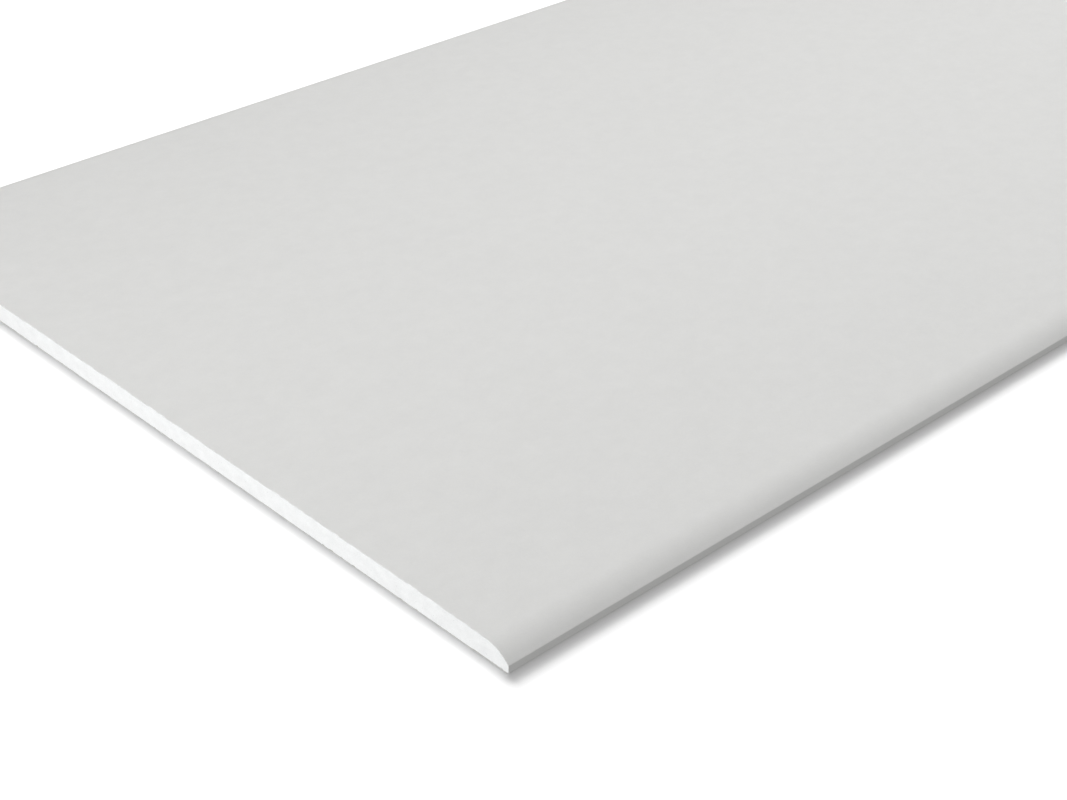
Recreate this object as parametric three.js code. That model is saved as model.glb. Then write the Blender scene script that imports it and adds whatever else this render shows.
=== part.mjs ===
// Drywall sheet: a gypsum core between two sheets of liner paper, with tapered, half-round long edges.
// Millimetres. X runs across the sheet, Y along it and Z up through its thickness.
// The origin is in the middle of the back. The section is drawn in X and Z and extruded along Y.
// The face paper is formed round both long edges and folded under the core, and the back paper laps
// over the folded strips.

import * as THREE from "three";

// Sheet
const sheetLength = 2000;
const sheetWidth = 600;
const sheetThickness = 12.5;

// Liner paper
const facePaperThickness = 0.3;
const backPaperThickness = 0.3;
const foldedStripWidth = 25; // of face paper under the sheet, from its long edge
const backPaperSetback = 1; // from the long edge to the back paper's edge

// Long edge
const taperWidth = 75; // from the long edge to where the face begins to fall
const taperDepth = 0.7; // fall of the tapered face by the time it would reach the long edge
const taperBlendRadius = 1500; // softens the start of the taper
const edgeRoundRadius = 19; // of the half-round between the taper and the shoulder
const shoulderDegrees = 45; // slope of the straight shoulder between the half-round and the lip
const lipHeight = 4.7; // from the back of the sheet to the crease above the upright lip
const creaseRadius = 1; // outside radius of the face paper over the lip
const foldRadius = 0.4; // outside radius of the face paper where it folds under the sheet

const segmentsPerArc = 12;
const halfWidth = sheetWidth / 2;

// A side of the section is known by its slope, which grows from the face round the long edge to the back.
const faceSlope = 0;
const taperSlope = Math.atan(taperDepth / taperWidth);
const shoulderSlope = THREE.MathUtils.degToRad(shoulderDegrees);
const lipSlope = Math.PI / 2;
const backSlope = Math.PI;

const downhill = (slope) => new THREE.Vector2(Math.cos(slope), -Math.sin(slope));
const outward = (slope) => new THREE.Vector2(Math.sin(slope), Math.cos(slope));

/** The radius wanted, or the largest whose tangent length still fits in `room` along the shorter side. */
function fittedRadius(wanted, room, turn) {
  return Math.min(wanted, room / Math.tan(turn / 2));
}

/** The arc that rounds the corner between a side with slope `before` and the next, with slope `after`. */
function cornerArc(corner, radius, before, after) {
  const reach = radius * Math.tan((after - before) / 2);
  const centre = corner.clone();
  centre.addScaledVector(downhill(before), -reach);
  centre.addScaledVector(outward(before), -radius);
  return { centre, radius, before, after };
}

/** Points along an arc moved `inset` into the sheet. The centre stays, so paper keeps its thickness. */
function arcPoints({ centre, radius, before, after }, inset) {
  return Array.from({ length: segmentsPerArc + 1 }, (_, i) => {
    const slope = THREE.MathUtils.lerp(before, after, i / segmentsPerArc);
    return centre.clone().addScaledVector(outward(slope), radius - inset);
  });
}

/** Where the tapered face and the shoulder would meet if nothing rounded them. */
function shoulderCorner() {
  const drop = sheetThickness - taperDepth - lipHeight;
  const setback = drop / (Math.tan(shoulderSlope) - Math.tan(taperSlope));
  return new THREE.Vector2(halfWidth - setback, lipHeight + setback * Math.tan(shoulderSlope));
}

/** The four arcs of the right long edge, from the face round to the back. */
function edgeArcs() {
  const taperStart = new THREE.Vector2(halfWidth - taperWidth, sheetThickness);
  const shoulder = shoulderCorner();
  const crease = new THREE.Vector2(halfWidth, lipHeight);
  const fold = new THREE.Vector2(halfWidth, backPaperThickness);

  const creaseReach = creaseRadius * Math.tan((lipSlope - shoulderSlope) / 2);
  const room = shoulder.distanceTo(crease) - creaseReach;
  const roundRadius = fittedRadius(edgeRoundRadius, room, shoulderSlope - taperSlope);

  return [
    cornerArc(taperStart, taperBlendRadius, faceSlope, taperSlope),
    cornerArc(shoulder, roundRadius, taperSlope, shoulderSlope),
    cornerArc(crease, creaseRadius, shoulderSlope, lipSlope),
    cornerArc(fold, foldRadius, lipSlope, backSlope),
  ];
}

const mirrored = (points) => points.map(({ x, y }) => new THREE.Vector2(-x, y)).reverse();

/** The line over the face and round both edges to the ends of the folded strips, `inset` into the sheet. */
function wrapLine(inset) {
  const stripEnd = new THREE.Vector2(halfWidth - foldedStripWidth, backPaperThickness + inset);
  const right = [...edgeArcs().flatMap((arc) => arcPoints(arc, inset)), stripEnd];
  return [...mirrored(right), ...right];
}

function facePaperSection() {
  const outside = wrapLine(0);
  const inside = wrapLine(facePaperThickness);
  return [...outside, ...inside.reverse()];
}

/** The core fills the face paper and comes down between the folded strips to the back paper. */
function coreSection() {
  const stripEnd = new THREE.Vector2(halfWidth - foldedStripWidth, backPaperThickness);
  return [...wrapLine(facePaperThickness), stripEnd, ...mirrored([stripEnd])];
}

function backPaperSection() {
  const edge = halfWidth - backPaperSetback;
  const right = [new THREE.Vector2(edge, backPaperThickness), new THREE.Vector2(edge, 0)];
  return [...right, ...mirrored(right)];
}

/** A piece of the sheet: its section extruded over the sheet's length. */
function piece(name, section, finish) {
  const geometry = new THREE.ExtrudeGeometry(new THREE.Shape(section), {
    depth: sheetLength,
    bevelEnabled: false,
  });
  const mesh = new THREE.Mesh(geometry, new THREE.MeshStandardMaterial(finish));
  mesh.name = name;
  return mesh;
}

const gypsum = { color: 0xf3f4f2, roughness: 0.95, metalness: 0 };
const faceLiner = { color: 0xd8d8d5, roughness: 0.85, metalness: 0 };
const backLiner = { color: 0xc5c4bf, roughness: 0.9, metalness: 0 };

// Sections are drawn upright and extruded towards the viewer, so the sheet is then laid down on its back.
const sheet = new THREE.Group();
sheet.add(piece("gypsum_core", coreSection(), gypsum));
sheet.add(piece("face_paper", facePaperSection(), faceLiner));
sheet.add(piece("back_paper", backPaperSection(), backLiner));
sheet.rotation.x = Math.PI / 2;
sheet.position.y = sheetLength / 2;

export default sheet;
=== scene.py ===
"""A sheet of drywall on a white studio floor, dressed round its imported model. Metres, with Z up."""

import math

import bpy
import numpy as np
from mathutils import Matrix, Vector


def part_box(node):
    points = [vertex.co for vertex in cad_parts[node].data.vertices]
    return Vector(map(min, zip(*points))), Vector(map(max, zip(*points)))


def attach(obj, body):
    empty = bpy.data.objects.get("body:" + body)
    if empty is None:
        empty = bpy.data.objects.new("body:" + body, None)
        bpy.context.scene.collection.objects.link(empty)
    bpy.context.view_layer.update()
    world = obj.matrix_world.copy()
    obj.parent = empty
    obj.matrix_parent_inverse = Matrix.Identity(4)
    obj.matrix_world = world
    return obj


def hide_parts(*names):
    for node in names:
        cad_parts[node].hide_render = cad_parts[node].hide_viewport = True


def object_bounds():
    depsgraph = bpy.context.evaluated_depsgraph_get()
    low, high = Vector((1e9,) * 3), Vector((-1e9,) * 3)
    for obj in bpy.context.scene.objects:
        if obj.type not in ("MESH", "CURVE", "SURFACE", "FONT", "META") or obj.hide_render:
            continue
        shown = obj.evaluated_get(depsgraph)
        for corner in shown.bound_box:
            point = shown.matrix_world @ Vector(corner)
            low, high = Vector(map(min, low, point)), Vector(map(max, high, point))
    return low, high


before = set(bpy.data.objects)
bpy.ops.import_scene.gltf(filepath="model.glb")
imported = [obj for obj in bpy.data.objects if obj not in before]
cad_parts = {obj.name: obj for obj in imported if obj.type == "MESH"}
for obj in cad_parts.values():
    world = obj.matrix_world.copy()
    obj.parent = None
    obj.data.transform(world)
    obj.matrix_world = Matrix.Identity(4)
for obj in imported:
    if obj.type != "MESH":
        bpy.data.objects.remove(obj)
cad_low, cad_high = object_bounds()

MM = 0.001

# The sheet, from the frame
HALF_WIDTH = cad_high.x
HALF_LENGTH = cad_high.y
THICKNESS = cad_high.z
FACE_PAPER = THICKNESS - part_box("gypsum_core")[1].z
BACK_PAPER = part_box("back_paper")[1].z
BACK_HALF_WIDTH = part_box("back_paper")[1].x

# The long edge, on the outside of the face paper
TAPER_WIDTH = 75 * MM
TAPER_DEPTH = 0.7 * MM
TAPER_BLEND_RADIUS = 1500 * MM
EDGE_ROUND_RADIUS = 19 * MM
SHOULDER_SLOPE = math.radians(45)
LIP_HEIGHT = 4.7 * MM
CREASE_RADIUS = 1 * MM
FOLD_RADIUS = 0.4 * MM
FOLDED_STRIP_WIDTH = 25 * MM

# Where two faces turn by more than this, their edge is shaded as sharp
SHARP_ANGLE = math.radians(35)

# The face paper's section: segments in each arc, and steps between the points of its straight sides
ARC_SEGMENTS = 12
FACE_STEP = 1.5 * MM
SHOULDER_STEP = 0.8 * MM
LIP_STEP = 0.6 * MM
STRIP_STEP = 3 * MM

# Steps between the places along the sheet, which grow from its cut ends towards its middle
FINEST_STATION = 0.4 * MM
WIDEST_STATION = 40 * MM
STATION_GROWTH = 1.5

# The papers' cut ends: how ragged, in waves of (size, share) that die out away from the cut
FACE_RAGGED = 0.8 * MM
BACK_RAGGED = 0.4 * MM
RAGGED_WAVES = ((9 * MM, 0.5), (2.5 * MM, 0.5))
RAGGED_FADE = 1.5 * MM

# How far the papers' long edges wander inwards, and how long a wave is. The face paper's wander dies
# out over EDGE_REACH from the long edge, and over EDGE_CALM towards a cut end.
EDGE_WANDER = 0.12 * MM
EDGE_WAVE = 90 * MM
EDGE_REACH = 16 * MM
EDGE_CALM = 40 * MM
BACK_WANDER = 0.25 * MM
BACK_WAVE = 35 * MM

# Step between the back paper's points across the sheet
BACK_STEP = 6 * MM

# The core's cut ends: columns, which get closer towards the long edges, and the rows in each
CAP_STEP = 0.6 * MM
CAP_EDGE_STEP = 0.02 * MM
CAP_EDGE_COLUMNS = 13
CAP_ROWS = 21
# Rings of the core behind a cut: how far behind it, and how far inside the papers
CORE_RINGS = ((3 * MM, 0), (8 * MM, 0.2 * MM))

# The relief of the cut gypsum: noise as (size, depth), and hollows as (count, half heights, depths)
CUT_GRAIN = (1.3 * MM, 0.08 * MM)
CUT_SWELL = (14 * MM, 0.12 * MM)
CUT_PORES = (900, (0.4 * MM, 0.9 * MM), (0.1 * MM, 0.4 * MM))
CUT_CHIPS = (90, (0.4 * MM, 1.2 * MM), (0.2 * MM, 0.7 * MM))
HOLLOW_WIDTH_TO_HEIGHT = (0.8, 1.6)
CHIPS_AT_FACE_SHARE = 0.97

# Seeds of the random draws. A ragged end or a cut takes a few in a row, from this one on.
FACE_RAGGED_SEED = 3
BACK_RAGGED_SEED = 4
FACE_WANDER_SEED = 11
BACK_WANDER_SEED = 12
NEAR_CUT_SEED = 21
FAR_CUT_SEED = 31

# Materials: linear colours, how strongly all of them shine, and what their noise has in common
FACE_TONE = (0.690, 0.690, 0.679)
BACK_TONE = (0.56, 0.55, 0.52)
GYPSUM_TONE = (0.885, 0.895, 0.895)
SHINE = 0.3
NOISE_MIDDLE = 0.5
NOISE_ROUGHNESS = 0.55

# Camera: its lens and aim, and its place as seen from the sheet's near bottom corner
SENSOR_WIDTH_MM = 36
FRAME_WIDTH_PX = 1067
FOCAL_LENGTH_PX = 1956.9
CAMERA_YAW = math.radians(46.918)
CAMERA_PITCH = math.radians(31.540)
CAMERA_FROM_CORNER = Vector((0.5119, -0.4633, 0.5696))

# Light. A level is the brightness that it gives to a white surface.
WHITE = (1, 1, 1, 1)
SKY_LIGHT = 0.35
STRIP_LIGHT = 0.657
STRIP_PLACE = Vector((-0.01, 0.42, 1.35))
STRIP_SIZE = (0.3, 4.5)
# Softboxes before the cut ends: each one's name, side and level, and how far across, out and up it is
END_LIGHTS = (("front", -1, 0.652), ("rear", 1, 0.53))
END_LIGHT_SIZE = (0.6, 0.2)
END_LIGHT_FROM_END = Vector((0.03, 0.9, 0.12))
FILL_LIGHT = 0.019
FILL_DIRECTION = Vector((1.0, 0, 0.27))
# Levels and directions of the lamps that light only the floor
FLOOR_LIGHTS = ((0.62, Vector((-1.6, 0.44, 1.0))), (0.166, Vector((-0.9, 0.34, 1.0))))
FAR_LIGHT_SPREAD = math.radians(22)

# Floor: what the camera sees is its tone and a lift, and what the sheet sees is its bounce
FLOOR_SIZE = 60
FLOOR_DROP = 0.05 * MM
FLOOR_TONE = 0.9
FLOOR_BOUNCE = 0.46
FLOOR_LIFT = 0.134
# Painted contact shadow: occlusion, not the lamps, darkens the floor's lift and bounce within these reaches
# of the sheet
CONTACT_SHADE_REACH = 8 * MM
CONTACT_LINE_SHADE_REACH = 2.5 * MM
CONTACT_BOUNCE_LOSS = 0.3
CONTACT_SAMPLES = 8


# ---------------------------------------------------------------- sections

def rounded_line(corners):
    """Points and outward normals along a line of corners, each (x, z, radius, step to the next corner).

    Both come as complex numbers, x + iz. The line runs clockwise, so its outside is on its left.
    """
    places = [complex(x, z) for x, z, _, _ in corners]
    points, normals = [], []
    start = places[0]
    for i in range(1, len(places)):
        _, _, radius, _ = corners[i]
        direction = (places[i] - places[i - 1]) / abs(places[i] - places[i - 1])
        turn = 0.0
        if i + 1 < len(places):
            turn = -np.angle((places[i + 1] - places[i]) / direction)
        end = places[i] - direction * radius * math.tan(turn / 2)
        count = max(1, round(abs(end - start) / corners[i - 1][3]))
        for k in range(count):
            points.append(start + (end - start) * k / count)
            normals.append(1j * direction)
        centre = end - 1j * direction * radius
        for k in range(ARC_SEGMENTS if turn else 1):
            normal = 1j * direction * np.exp(-1j * turn * k / ARC_SEGMENTS)
            points.append(centre + normal * radius)
            normals.append(normal)
        start = centre + 1j * direction * np.exp(-1j * turn) * radius
    return np.array(points), np.array(normals)


def wrap_lines():
    """The face paper's outside and inside, from one folded strip's end over the face to the other's."""
    taper_slope = math.atan(TAPER_DEPTH / TAPER_WIDTH)
    drop = THICKNESS - TAPER_DEPTH - LIP_HEIGHT
    setback = drop / (math.tan(SHOULDER_SLOPE) - math.tan(taper_slope))
    shoulder_height = LIP_HEIGHT + setback * math.tan(SHOULDER_SLOPE)
    points, normals = rounded_line([
        (0, THICKNESS, 0, FACE_STEP),
        (HALF_WIDTH - TAPER_WIDTH, THICKNESS, TAPER_BLEND_RADIUS, FACE_STEP),
        (HALF_WIDTH - setback, shoulder_height, EDGE_ROUND_RADIUS, SHOULDER_STEP),
        (HALF_WIDTH, LIP_HEIGHT, CREASE_RADIUS, LIP_STEP),
        (HALF_WIDTH, BACK_PAPER, FOLD_RADIUS, STRIP_STEP),
        (HALF_WIDTH - FOLDED_STRIP_WIDTH, BACK_PAPER, 0, STRIP_STEP),
    ])
    outside = np.concatenate([-points[:0:-1].conj(), points])
    normals = np.concatenate([-normals[:0:-1].conj(), normals])
    return outside, outside - normals * FACE_PAPER


# ---------------------------------------------------------------- meshes

def mesh_object(name, vertices, faces):
    """A smooth-shaded object whose edges stay sharp past an angle."""
    mesh = bpy.data.meshes.new(name)
    mesh.from_pydata(vertices.tolist(), [], faces)
    mesh.shade_smooth()
    mesh.set_sharp_from_angle(angle=SHARP_ANGLE)
    made = bpy.data.objects.new(name, mesh)
    bpy.context.scene.collection.objects.link(made)
    return made


def bands(rings):
    """Quads that join each ring of vertex numbers to the next."""
    quads = []
    for first, second in zip(rings, rings[1:]):
        quads += np.stack([first, second, np.roll(second, -1), np.roll(first, -1)], -1).tolist()
    return quads


def soft_noise(seed, size, *coordinates):
    """Smooth noise from 0 to 1, with features about as large as size, at points on a line or a plane."""
    rng = np.random.default_rng(seed)
    cells = [np.asarray(c, float) / size for c in coordinates]
    low = [int(np.floor(c.min())) for c in cells]
    lattice = rng.random([int(np.floor(c.max())) - at + 2 for c, at in zip(cells, low)])
    whole = [np.floor(c).astype(int) - at for c, at in zip(cells, low)]
    part = [(c - np.floor(c)) ** 2 * (3 - 2 * (c - np.floor(c))) for c in cells]
    total = 0
    for corner in np.ndindex(*(2,) * len(cells)):
        weight = 1
        for side, p in zip(corner, part):
            weight = weight * (p if side else 1 - p)
        total = total + weight * lattice[tuple(w + side for w, side in zip(whole, corner))]
    return total


def own_side(values):
    """A noise coordinate that gives the negative and the positive side noise of their own."""
    return np.sign(values) + 2


def stations():
    """Places along the sheet's length, close together near its cut ends."""
    steps = [FINEST_STATION]
    while steps[-1] < WIDEST_STATION:
        steps.append(steps[-1] * STATION_GROWTH)
    near = np.concatenate([[0], np.cumsum(steps)]) - HALF_LENGTH
    middle = np.linspace(near[-1], -near[-1], round(2 * -near[-1] / WIDEST_STATION) + 1)
    return np.concatenate([near[:-1], middle, -near[-2::-1]])


def from_end(y):
    """How far a place along the sheet is from the nearer cut end."""
    return HALF_LENGTH - np.abs(y)


def shell(name, outer, inner, seed, ragged, wander):
    """A paper: its outer and inner lines swept along the sheet, closed at the strip and cut ends.

    ragged is how far the cut ends draw back at most. wander gives each point's move in the section.
    """
    along = stations()
    line = np.concatenate([outer, inner[::-1]])
    moved = line + wander(line, along)
    x, z = moved.real, moved.imag
    y = np.tile(along[:, None], (1, len(line)))
    cut = sum(share * soft_noise(seed + number, size, x[0] + HALF_WIDTH, own_side(y))
              for number, (size, share) in enumerate(RAGGED_WAVES))
    y -= np.sign(y) * cut ** 2 * ragged * np.exp(-from_end(y) / RAGGED_FADE)

    rings = np.arange(x.size).reshape(x.shape)
    faces = bands(rings)
    for k in range(len(outer) - 1):
        corners = [k, k + 1, -2 - k, -1 - k]
        faces.append(rings[0, corners].tolist())
        faces.append(rings[-1, corners[::-1]].tolist())
    return mesh_object(name, np.stack([x, y, z], -1).reshape(-1, 3), faces)


# ---------------------------------------------------------------- papers

def inward_waves(seed, size, line, along):
    """Waves from 0 to 1 along the sheet, pointing inwards, with each long edge having its own."""
    waves = soft_noise(seed, size, along[:, None] + HALF_LENGTH, own_side(line.real)[None, :])
    return -np.sign(line.real) * waves


def face_wander(line, along):
    """How the formed long edges wander inwards along the sheet, never past their true size."""
    near_edge = np.clip((np.abs(line.real) - (HALF_WIDTH - EDGE_REACH)) / EDGE_REACH, 0, 1)
    calm_ends = np.clip(from_end(along) / EDGE_CALM, 0, 1)
    waves = inward_waves(FACE_WANDER_SEED, EDGE_WAVE, line, along)
    return waves * EDGE_WANDER * near_edge * calm_ends[:, None]


def back_wander(line, along):
    """How the back paper's long edges wander inwards along the sheet."""
    at_edge = np.isclose(np.abs(line.real), BACK_HALF_WIDTH)
    return inward_waves(BACK_WANDER_SEED, BACK_WAVE, line, along) * BACK_WANDER * at_edge


def face_paper():
    outside, inside = wrap_lines()
    return shell("liner_face", outside, inside, FACE_RAGGED_SEED, FACE_RAGGED, face_wander)


def back_paper():
    count = round(2 * BACK_HALF_WIDTH / BACK_STEP)
    x = np.linspace(BACK_HALF_WIDTH, -BACK_HALF_WIDTH, count + 1)
    return shell("liner_back", x + 0j, x + 1j * BACK_PAPER, BACK_RAGGED_SEED, BACK_RAGGED, back_wander)


# ---------------------------------------------------------------- core

def cap_outline():
    """Columns across the core's end, with the core's lowest and highest point in each."""
    _, inside = wrap_lines()
    right = inside[len(inside) // 2:]
    lip_middle = (LIP_HEIGHT + BACK_PAPER) / 2
    top = right[right.imag > lip_middle]
    under = right[right.imag <= lip_middle][::-1]
    strip_end = HALF_WIDTH - FOLDED_STRIP_WIDTH
    edge = right.real.max() - CAP_EDGE_STEP * np.arange(CAP_EDGE_COLUMNS) ** 2
    plain = np.arange(0, edge[-1] - CAP_STEP / 2, CAP_STEP)
    step = [strip_end - CAP_EDGE_STEP, strip_end + CAP_EDGE_STEP]
    x = np.unique(np.concatenate([plain, step, edge]))
    high = np.interp(x, top.real, top.imag)
    low = np.where(x < strip_end, BACK_PAPER, np.interp(x, under.real, under.imag))
    mirror = slice(None, 0, -1)
    return (np.concatenate([-x[mirror], x]),
            np.concatenate([low[mirror], low]),
            np.concatenate([high[mirror], high]))


def hollows(rng, kind, z_range):
    """Rows of x, z, half width, half height and depth for hollows of a kind in a cut end."""
    count, half_heights, depths = kind
    half = rng.uniform(*half_heights, count)
    return np.stack([rng.uniform(-HALF_WIDTH, HALF_WIDTH, count), rng.uniform(*z_range, count),
                     half * rng.uniform(*HOLLOW_WIDTH_TO_HEIGHT, count), half,
                     rng.uniform(*depths, count)], -1)


def cut_relief(x, z, high, seed):
    """How deep a cut end's gypsum lies behind the cut: grain, air pores, and chips at the papers."""
    rng = np.random.default_rng(seed)
    depth = sum(deep * soft_noise(seed + number, size, x + HALF_WIDTH, z)
                for number, (size, deep) in enumerate((CUT_GRAIN, CUT_SWELL), 1))
    pores = hollows(rng, CUT_PORES, (0, THICKNESS))
    chips = hollows(rng, CUT_CHIPS, (0, 0))
    at_face = rng.random(len(chips)) < CHIPS_AT_FACE_SHARE
    chips[:, 1] = np.where(at_face, np.interp(chips[:, 0], x[:, 0], high), BACK_PAPER)
    for at_x, at_z, half_x, half_z, deep in np.concatenate([pores, chips]):
        first, last = np.searchsorted(x[:, 0], [at_x - half_x, at_x + half_x])
        part = slice(first, last)
        away = ((x[part] - at_x) / half_x) ** 2 + ((z[part] - at_z) / half_z) ** 2
        depth[part] = np.maximum(depth[part], deep * np.clip(1 - away, 0, 1) ** 0.5)
    return depth


def gypsum_core():
    """The core: two cut ends with their relief, and sides between them that the papers hide."""
    columns, low, high = cap_outline()
    x = np.tile(columns[:, None], (1, CAP_ROWS))
    z = low[:, None] + (high - low)[:, None] * np.linspace(0, 1, CAP_ROWS)
    near = np.stack([x, cut_relief(x, z, high, NEAR_CUT_SEED) - HALF_LENGTH, z], -1)
    far = np.stack([x, HALF_LENGTH - cut_relief(x, z, high, FAR_CUT_SEED), z], -1)

    wide, tall = x.shape
    column, row = np.array([(i, tall - 1) for i in range(wide)]
                           + [(wide - 1, j) for j in range(tall - 2, -1, -1)]
                           + [(i, 0) for i in range(wide - 2, -1, -1)]
                           + [(0, j) for j in range(1, tall - 1)]).T
    middle = THICKNESS / 2
    near_walls, far_walls = [], []
    for from_cut, clearance in CORE_RINGS:
        ring_x = x[column, row] * (1 - clearance / HALF_WIDTH)
        ring_z = middle + (z[column, row] - middle) * (1 - clearance / middle)
        for walls, y in ((near_walls, from_cut - HALF_LENGTH), (far_walls, HALF_LENGTH - from_cut)):
            walls.append(np.stack([ring_x, np.full(len(ring_x), y), ring_z], -1))
    walls = near_walls + far_walls[::-1]

    cap = wide * tall
    faces = []
    for i in range(wide - 1):
        for j in range(tall - 1):
            quad = (i * tall + j, (i + 1) * tall + j, (i + 1) * tall + j + 1, i * tall + j + 1)
            faces.append(quad)
            faces.append(tuple(cap + vertex for vertex in quad[::-1]))
    border = column * tall + row
    rings = [2 * cap + number * len(border) + np.arange(len(border)) for number in range(len(walls))]
    faces += bands([border, *rings, cap + border])
    vertices = np.concatenate([near.reshape(-1, 3), far.reshape(-1, 3), *walls])
    return mesh_object("core_gypsum", vertices, faces)


# ---------------------------------------------------------------- materials

def add(tree, kind, inputs=None, **settings):
    """A node with its settings, and its inputs set to values or linked to other nodes' outputs."""
    node = tree.nodes.new(kind)
    for name, value in settings.items():
        setattr(node, name, value)
    for key, value in (inputs or {}).items():
        if isinstance(value, bpy.types.NodeSocket):
            tree.links.new(value, node.inputs[key])
        else:
            node.inputs[key].default_value = value
    return node


def new_material(name):
    material = bpy.data.materials.new(name)
    material.use_nodes = True
    material.node_tree.nodes.clear()
    return material, material.node_tree


def grain_noise(tree, size, detail=2.0, turn=0.0):
    """Noise whose features have these sizes along X, Y and Z, turned about Z by so many radians."""
    place = add(tree, "ShaderNodeTexCoord")
    turned = add(tree, "ShaderNodeMapping", {"Vector": place.outputs["Object"],
                                             "Rotation": (0, 0, turn)})
    scaled = add(tree, "ShaderNodeMapping", {"Vector": turned.outputs[0],
                                             "Scale": tuple(1 / s for s in size)})
    texture = add(tree, "ShaderNodeTexNoise", {"Vector": scaled.outputs[0], "Scale": 1.0,
                                               "Detail": detail, "Roughness": NOISE_ROUGHNESS})
    return texture.outputs["Fac"]


def weighted(tree, start, *terms):
    """start plus each noise's distance from its middle times its weight."""
    total = start
    for source, weight in terms:
        centred = add(tree, "ShaderNodeMath", {0: source, 1: NOISE_MIDDLE}, operation="SUBTRACT")
        total = add(tree, "ShaderNodeMath", {0: centred.outputs[0], 1: weight, 2: total},
                    operation="MULTIPLY_ADD").outputs[0]
    return total


def flecks(tree, cell, share, radius):
    """1 inside sparse round specks, and 0 elsewhere. share is how many cells hold one."""
    place = add(tree, "ShaderNodeTexCoord")
    cells = add(tree, "ShaderNodeTexVoronoi", {"Vector": place.outputs["Object"], "Scale": 1 / cell},
                feature="F1", distance="EUCLIDEAN")
    chance = add(tree, "ShaderNodeSeparateColor", {"Color": cells.outputs["Color"]})
    size = add(tree, "ShaderNodeMapRange", {"Value": chance.outputs[0], "From Min": 1 - share,
                                            "From Max": 1.0, "To Min": 0.0, "To Max": radius / cell})
    return add(tree, "ShaderNodeMath", {0: cells.outputs["Distance"], 1: size.outputs[0]},
               operation="LESS_THAN").outputs[0]


def darkened(tree, level, where, amount):
    """level, less amount where the flecks are."""
    return add(tree, "ShaderNodeMath", {0: where, 1: -amount, 2: level},
               operation="MULTIPLY_ADD").outputs[0]


def finish_surface(tree, tone, level, rough, height, bump_distance):
    """Ends a material: its tone scaled by level, with roughness and bump from nodes."""
    colour = add(tree, "ShaderNodeVectorMath", {0: tone, "Scale": level}, operation="SCALE")
    bump = add(tree, "ShaderNodeBump", {"Height": height, "Distance": bump_distance, "Strength": 1.0})
    surface = add(tree, "ShaderNodeBsdfPrincipled", {
        "Base Color": colour.outputs[0], "Roughness": rough, "Normal": bump.outputs[0]})
    surface.inputs["Specular IOR Level"].default_value = SHINE
    add(tree, "ShaderNodeOutputMaterial", {"Surface": surface.outputs[0]})


def face_liner():
    material, tree = new_material("face_liner")
    cloud = grain_noise(tree, (45 * MM, 60 * MM, 45 * MM), detail=3.0)
    mottle = grain_noise(tree, (9 * MM, 11 * MM, 9 * MM), detail=4.0)
    streak = grain_noise(tree, (9 * MM, 260 * MM, 9 * MM))
    fibre = grain_noise(tree, (0.5 * MM, 3.5 * MM, 0.5 * MM), turn=0.3)
    cross = grain_noise(tree, (2.6 * MM, 0.5 * MM, 0.5 * MM), turn=0.4)
    speck = flecks(tree, cell=9 * MM, share=0.03, radius=0.45 * MM)
    level = weighted(tree, 1.0, (cloud, 0.018), (mottle, 0.07), (streak, 0.010),
                     (fibre, 0.055), (cross, 0.05))
    level = darkened(tree, level, speck, 0.12)
    rough = weighted(tree, 0.84, (fibre, 0.10))
    height = weighted(tree, NOISE_MIDDLE, (fibre, 0.5), (cross, 0.5))
    finish_surface(tree, FACE_TONE, level, rough, height, bump_distance=0.03 * MM)
    return material


def back_liner():
    material, tree = new_material("back_liner")
    cloud = grain_noise(tree, (30 * MM, 45 * MM, 30 * MM), detail=4.0)
    fibre = grain_noise(tree, (0.7 * MM, 5 * MM, 0.7 * MM), turn=0.25)
    cross = grain_noise(tree, (4 * MM, 0.7 * MM, 0.7 * MM), turn=0.35)
    speck = flecks(tree, cell=5 * MM, share=0.08, radius=0.5 * MM)
    level = weighted(tree, 1.0, (cloud, 0.12), (fibre, 0.22), (cross, 0.18))
    level = darkened(tree, level, speck, 0.35)
    rough = weighted(tree, 0.9, (fibre, 0.10))
    height = weighted(tree, NOISE_MIDDLE, (fibre, 0.6), (cross, 0.5))
    finish_surface(tree, BACK_TONE, level, rough, height, bump_distance=0.05 * MM)
    return material


def gypsum():
    material, tree = new_material("gypsum")
    patch = grain_noise(tree, (7 * MM, 7 * MM, 5 * MM), detail=3.0)
    grain = grain_noise(tree, (0.9 * MM, 0.9 * MM, 0.6 * MM), detail=3.0)
    # Painted shade: sparse dark specks stand in for the shadow inside the gypsum's pores
    painted_pore_shade = flecks(tree, cell=1.6 * MM, share=0.25, radius=0.3 * MM)
    level = weighted(tree, 1.0, (patch, 0.16), (grain, 0.20))
    level = darkened(tree, level, painted_pore_shade, 0.16)
    rough = weighted(tree, 0.92, (grain, 0.1))
    height = weighted(tree, NOISE_MIDDLE, (grain, 1.0))
    finish_surface(tree, GYPSUM_TONE, level, rough, height, bump_distance=0.1 * MM)
    return material


# ---------------------------------------------------------------- studio

def seen_directly(tree):
    """1 for rays from the camera, and for reflections and refractions of the background."""
    path = add(tree, "ShaderNodeLightPath")
    glossy = add(tree, "ShaderNodeMath", {0: path.outputs["Is Camera Ray"],
                                          1: path.outputs["Is Glossy Ray"]}, operation="MAXIMUM")
    return add(tree, "ShaderNodeMath", {0: glossy.outputs[0], 1: path.outputs["Is Transmission Ray"]},
               operation="MAXIMUM").outputs[0]


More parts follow.
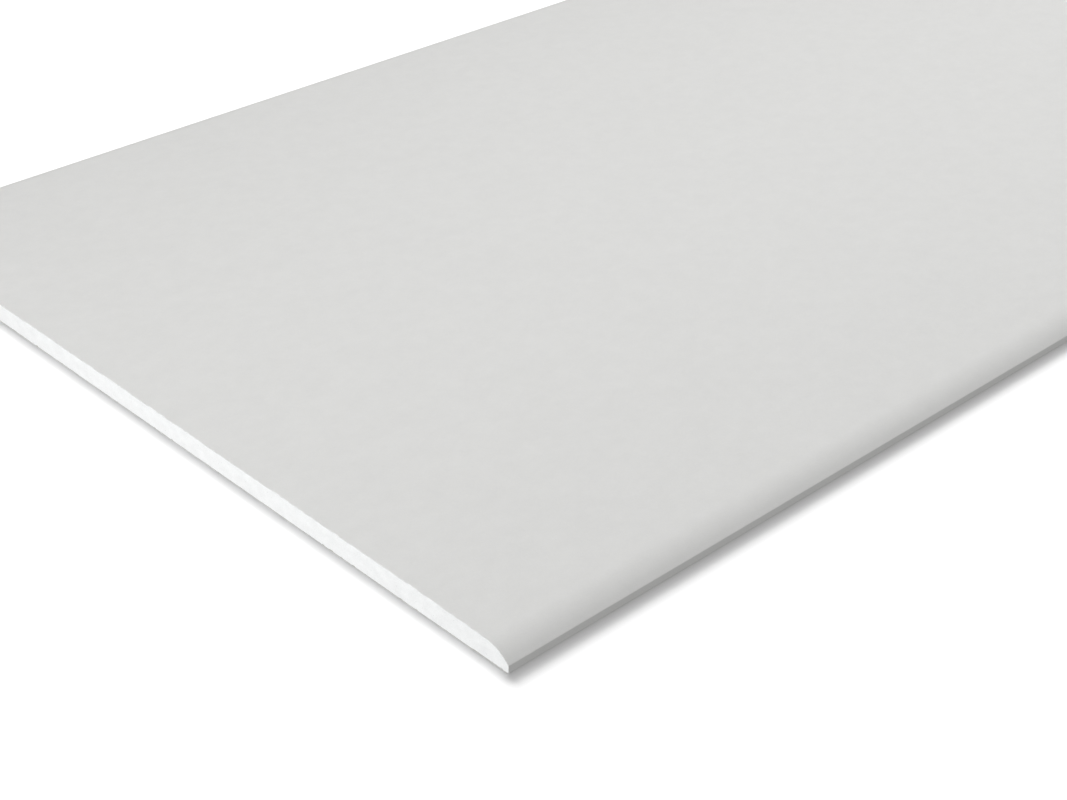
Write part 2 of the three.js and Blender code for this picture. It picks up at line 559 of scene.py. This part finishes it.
def make_floor():
    """A white floor that keeps the sheet's shadow. It lights the sheet evenly from below.

    Its bounce and its lift are darkened near the sheet as painted contact shade, and its lift once more
    right beside it as a painted contact line.
    """
    half = FLOOR_SIZE / 2
    corners = np.array([(-half, -half, -FLOOR_DROP), (half, -half, -FLOOR_DROP),
                        (half, half, -FLOOR_DROP), (-half, half, -FLOOR_DROP)])
    floor = mesh_object("studio_floor", corners, [(0, 1, 2, 3)])
    material, tree = new_material("studio_floor")
    # Painted contact shadow: occlusion darkens the floor's glow near the sheet, and darker still in a thin
    # line right beside it
    contact_shade = add(tree, "ShaderNodeAmbientOcclusion", {"Distance": CONTACT_SHADE_REACH},
                  samples=CONTACT_SAMPLES)
    bounced = add(tree, "ShaderNodeMapRange", {
        "Value": contact_shade.outputs["AO"], "To Min": (1 - CONTACT_BOUNCE_LOSS) * FLOOR_BOUNCE,
        "To Max": FLOOR_BOUNCE})
    shown = add(tree, "ShaderNodeBsdfDiffuse", {"Color": (FLOOR_TONE, FLOOR_TONE, FLOOR_TONE, 1)})
    contact_line_shade = add(tree, "ShaderNodeAmbientOcclusion", {
        "Color": contact_shade.outputs["Color"], "Distance": CONTACT_LINE_SHADE_REACH}, samples=CONTACT_SAMPLES)
    lift = add(tree, "ShaderNodeEmission", {"Color": contact_line_shade.outputs["Color"], "Strength": FLOOR_LIFT})
    lifted = add(tree, "ShaderNodeAddShader", {0: shown.outputs[0], 1: lift.outputs[0]})
    bounce = add(tree, "ShaderNodeEmission", {"Color": WHITE, "Strength": bounced.outputs[0]})
    mixed = add(tree, "ShaderNodeMixShader", {0: seen_directly(tree), 1: bounce.outputs[0],
                                              2: lifted.outputs[0]})
    add(tree, "ShaderNodeOutputMaterial", {"Surface": mixed.outputs[0]})
    floor.data.materials.append(material)
    return floor


def make_world():
    """A sky that lights the sheet evenly, and that the camera sees as plain white."""
    world = bpy.data.worlds.new("studio")
    bpy.context.scene.world = world
    world.use_nodes = True
    tree = world.node_tree
    tree.nodes.clear()
    sky = add(tree, "ShaderNodeBackground", {"Color": WHITE, "Strength": SKY_LIGHT})
    backdrop = add(tree, "ShaderNodeBackground", {"Color": WHITE, "Strength": 1.0})
    mixed = add(tree, "ShaderNodeMixShader", {0: seen_directly(tree), 1: sky.outputs[0],
                                              2: backdrop.outputs[0]})
    add(tree, "ShaderNodeOutputWorld", {"Surface": mixed.outputs[0]})


def place_lamp(lamp, towards, only=(), all_but=()):
    """Puts a lamp in the scene, its light coming from the direction towards.

    With only or all_but, it lights just those objects or all but those.
    """
    lamp.rotation_mode = "QUATERNION"
    lamp.rotation_quaternion = towards.to_track_quat("Z", "Y")
    bpy.context.scene.collection.objects.link(lamp)
    if only or all_but:
        group = bpy.data.collections.new(lamp.name + "_receivers")
        for receiver in (*only, *all_but):
            group.objects.link(receiver)
        for member in group.collection_objects:
            member.light_linking.link_state = "INCLUDE" if only else "EXCLUDE"
        lamp.light_linking.receiver_collection = group


def far_softbox(name, direction, level, **linking):
    """A lamp so far off that it lights everything alike. A white surface that lies flat gets this level."""
    towards = direction.normalized()
    light = bpy.data.lights.new(name, "SUN")
    light.energy = level * math.pi / towards.z
    light.angle = FAR_LIGHT_SPREAD
    place_lamp(bpy.data.objects.new(name, light), towards, **linking)


def near_softbox(name, place, size, target, level, **linking):
    """A rectangular lamp that gives a white surface at the target, facing it, this level.

    Its light is summed along its second side, with its first side taken as narrow.
    """
    away = place - target
    light = bpy.data.lights.new(name, "AREA")
    light.shape = "RECTANGLE"
    light.size, light.size_y = size
    reach, half = away.length, size[1] / 2
    spread = (half / (reach ** 2 + half ** 2) + math.atan(half / reach) / reach) / size[1]
    light.energy = level * math.pi ** 2 / spread
    lamp = bpy.data.objects.new(name, light)
    lamp.location = place
    lamp.visible_camera = False
    place_lamp(lamp, away.normalized(), **linking)


def make_camera():
    camera = bpy.data.objects.new("camera", bpy.data.cameras.new("camera"))
    camera.data.sensor_width = SENSOR_WIDTH_MM
    camera.data.lens = FOCAL_LENGTH_PX / FRAME_WIDTH_PX * SENSOR_WIDTH_MM
    camera.location = Vector((cad_high.x, cad_low.y, cad_low.z)) + CAMERA_FROM_CORNER
    camera.rotation_euler = (math.pi / 2 - CAMERA_PITCH, 0, CAMERA_YAW)
    bpy.context.scene.collection.objects.link(camera)
    bpy.context.scene.camera = camera


# ---------------------------------------------------------------- scene

make_camera()
studio_floor = make_floor()
make_world()
under_strip = Vector((STRIP_PLACE.x, STRIP_PLACE.y, THICKNESS))
near_softbox("strip", STRIP_PLACE, STRIP_SIZE, under_strip, STRIP_LIGHT, all_but=[studio_floor])
for name, side, level in END_LIGHTS:
    lit = Vector((END_LIGHT_FROM_END.x, side * HALF_LENGTH, END_LIGHT_FROM_END.z))
    place = lit + Vector((0, side * END_LIGHT_FROM_END.y, 0))
    near_softbox(name, place, END_LIGHT_SIZE, lit, level, all_but=[studio_floor])
far_softbox("fill", FILL_DIRECTION, FILL_LIGHT)
for number, (level, direction) in enumerate(FLOOR_LIGHTS, 1):
    far_softbox(f"floor_{number}", direction, level, only=[studio_floor])

for make, material, node, slot in (
    (gypsum_core, gypsum, "gypsum_core", "gypsum"),
    (face_paper, face_liner, "face_paper", "face_liner"),
    (back_paper, back_liner, "back_paper", "back_liner"),
):
    piece = make()
    piece.data.materials.append(material())
    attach(piece, "root")
    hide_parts(node)

bpy.context.scene.view_settings.view_transform = "Standard"
